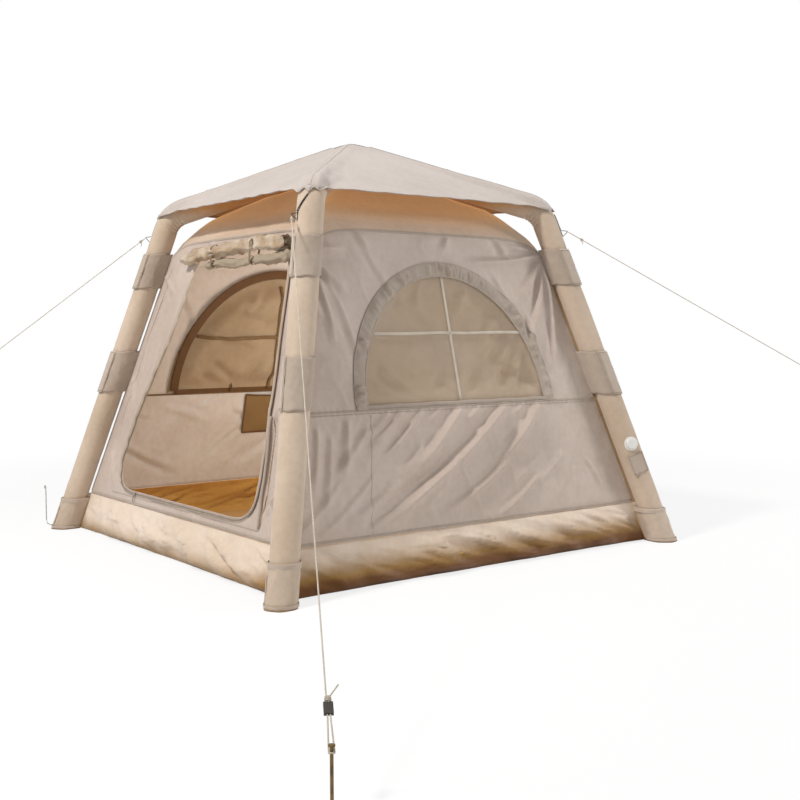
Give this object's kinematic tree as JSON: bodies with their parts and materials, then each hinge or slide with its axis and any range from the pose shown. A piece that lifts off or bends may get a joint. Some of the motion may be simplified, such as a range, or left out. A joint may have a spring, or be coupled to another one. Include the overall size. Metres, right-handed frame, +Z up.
{
  "type": "inflatable camping tent",
  "caption": "Square air-beam tent with a pyramid fly roof over an inner tent, an open arched door with rolled panels, arched mesh windows, cuffed legs, guylines and pegs.",
  "frame": {"origin": "centre of the groundsheet's underside, on the ground", "axes": "+Z up, the door wall faces -Y, window walls face +X, +Y and -X"},
  "size_m": [4.0987, 3.5464, 1.9469],
  "materials": {
    "beam_cloth": "matt woven polyester sleeve, light sand",
    "cuff_cloth": "matt woven polyester, sand",
    "wall_cloth": "matt tent cloth, grey beige",
    "inner_roof_cloth": "matt tent cloth, warm tan",
    "fly_cloth": "coated tent cloth, pale grey beige",
    "tub_cloth": "coated groundsheet cloth, light sand",
    "air_film": "welded plastic film",
    "window_net": "fine insect mesh, brown",
    "window_trim": "matt tent cloth band",
    "flap_cloth": "matt tent cloth, warm tan",
    "tape": "woven tape, beige",
    "zip_tape": "zip tape with moulded teeth, beige",
    "black_plastic": "black",
    "white_plastic": "white",
    "steel": "plain steel wire",
    "bronzed_steel": "bronze brown",
    "cord": "braided cord, pale grey",
    "elastic": "black elastic cord"
  },
  "bodies": {
    "tent": {"air_bladder": "air_film", "bathtub_floor": "tub_cloth", "beam_sleeve_back_left": "beam_cloth", "beam_sleeve_back_right": "beam_cloth", "beam_sleeve_front_left": "beam_cloth", "beam_sleeve_front_right": "beam_cloth", "boot_back_left": "beam_cloth", "boot_back_right": "beam_cloth", "boot_front_left": "beam_cloth", "boot_front_right": "beam_cloth", "corner_elastic_back_left": "elastic", "corner_elastic_back_right": "elastic", "corner_elastic_front_left": "elastic", "corner_elastic_front_right": "elastic", "door_roll": "wall_cloth", "door_tie_left": "tape", "door_tie_right": "tape", "door_zip_track": "zip_tape", "fly_roof": "fly_cloth", "foot_peg": "steel", "guy_peg": "bronzed_steel", "guy_ring_back_left": "black_plastic", "guy_ring_back_right": "black_plastic", "guy_ring_front_left": "black_plastic", "guy_ring_front_right": "black_plastic", "guyline_back_right": "cord", "guyline_front_left": "cord", "guyline_front_right": "cord", "inner_roof": "inner_roof_cloth", "mesh_door_roll": "window_net", "mesh_pocket": "window_net", "middle_cuff_back_left": "cuff_cloth", "middle_cuff_back_right": "cuff_cloth", "middle_cuff_front_left": "cuff_cloth", "middle_cuff_front_right": "cuff_cloth", "upper_cuff_back_left": "cuff_cloth", "upper_cuff_back_right": "cuff_cloth", "upper_cuff_front_left": "cuff_cloth", "upper_cuff_front_right": "cuff_cloth", "valve_body": "white_plastic", "wall_back": "wall_cloth", "wall_front": "wall_cloth", "wall_left": "wall_cloth", "wall_right": "wall_cloth", "window_flap_back": "flap_cloth", "window_flap_left": "flap_cloth", "window_flap_right": "flap_cloth", "window_mesh_back": "window_net", "window_mesh_left": "window_net", "window_mesh_right": "window_net", "window_surround_back": "window_trim", "window_surround_left": "window_trim", "window_surround_right": "window_trim"},
    "valve_cap": {"valve_cap": "white_plastic"},
    "valve_flap": {"valve_flap": "cuff_cloth"},
    "zip_slider": {"door_zip_slider": "steel"},
    "zip_pull": {"door_zip_pull": "steel"},
    "guy_runner": {"guyline_runner": "black_plastic"},
    "hanging_loop": {"hanging_loop": "tape"}
  },
  "joints": [
    {"name": "valve_cap_turn", "type": "hinge", "parent": "tent", "child": "valve_cap", "pos_m": [0.95563, 0.95564, 0.46982], "axis": [0.8771, -0.4679, 0.1083], "continuous": true},
    {"name": "valve_flap_lift", "type": "hinge", "parent": "tent", "child": "valve_flap", "pos_m": [1.01917, 0.94075, 0.42931], "axis": [-0.4113, -0.8483, -0.3334], "range_deg": [0, 130]},
    {"name": "zip_slide", "type": "slide", "parent": "tent", "child": "zip_slider", "axis": [1, 0, 0], "range_m": [0, 0.9]},
    {"name": "zip_pull_lift", "type": "hinge", "parent": "zip_slider", "child": "zip_pull", "pos_m": [-0.45, -0.97224, 0.24119], "axis": [-1, 0, 0], "range_deg": [0, 120]},
    {"name": "runner_slide", "type": "slide", "parent": "tent", "child": "guy_runner", "axis": [-0.7458, 0.4317, 0.5073], "range_m": [0, 0.5]},
    {"name": "hanging_loop_swing", "type": "hinge", "parent": "tent", "child": "hanging_loop", "pos_m": [-0.82122, -0.234, 0.74331], "axis": [0, -1, 0], "range_deg": [-8, 90]}
  ]
}
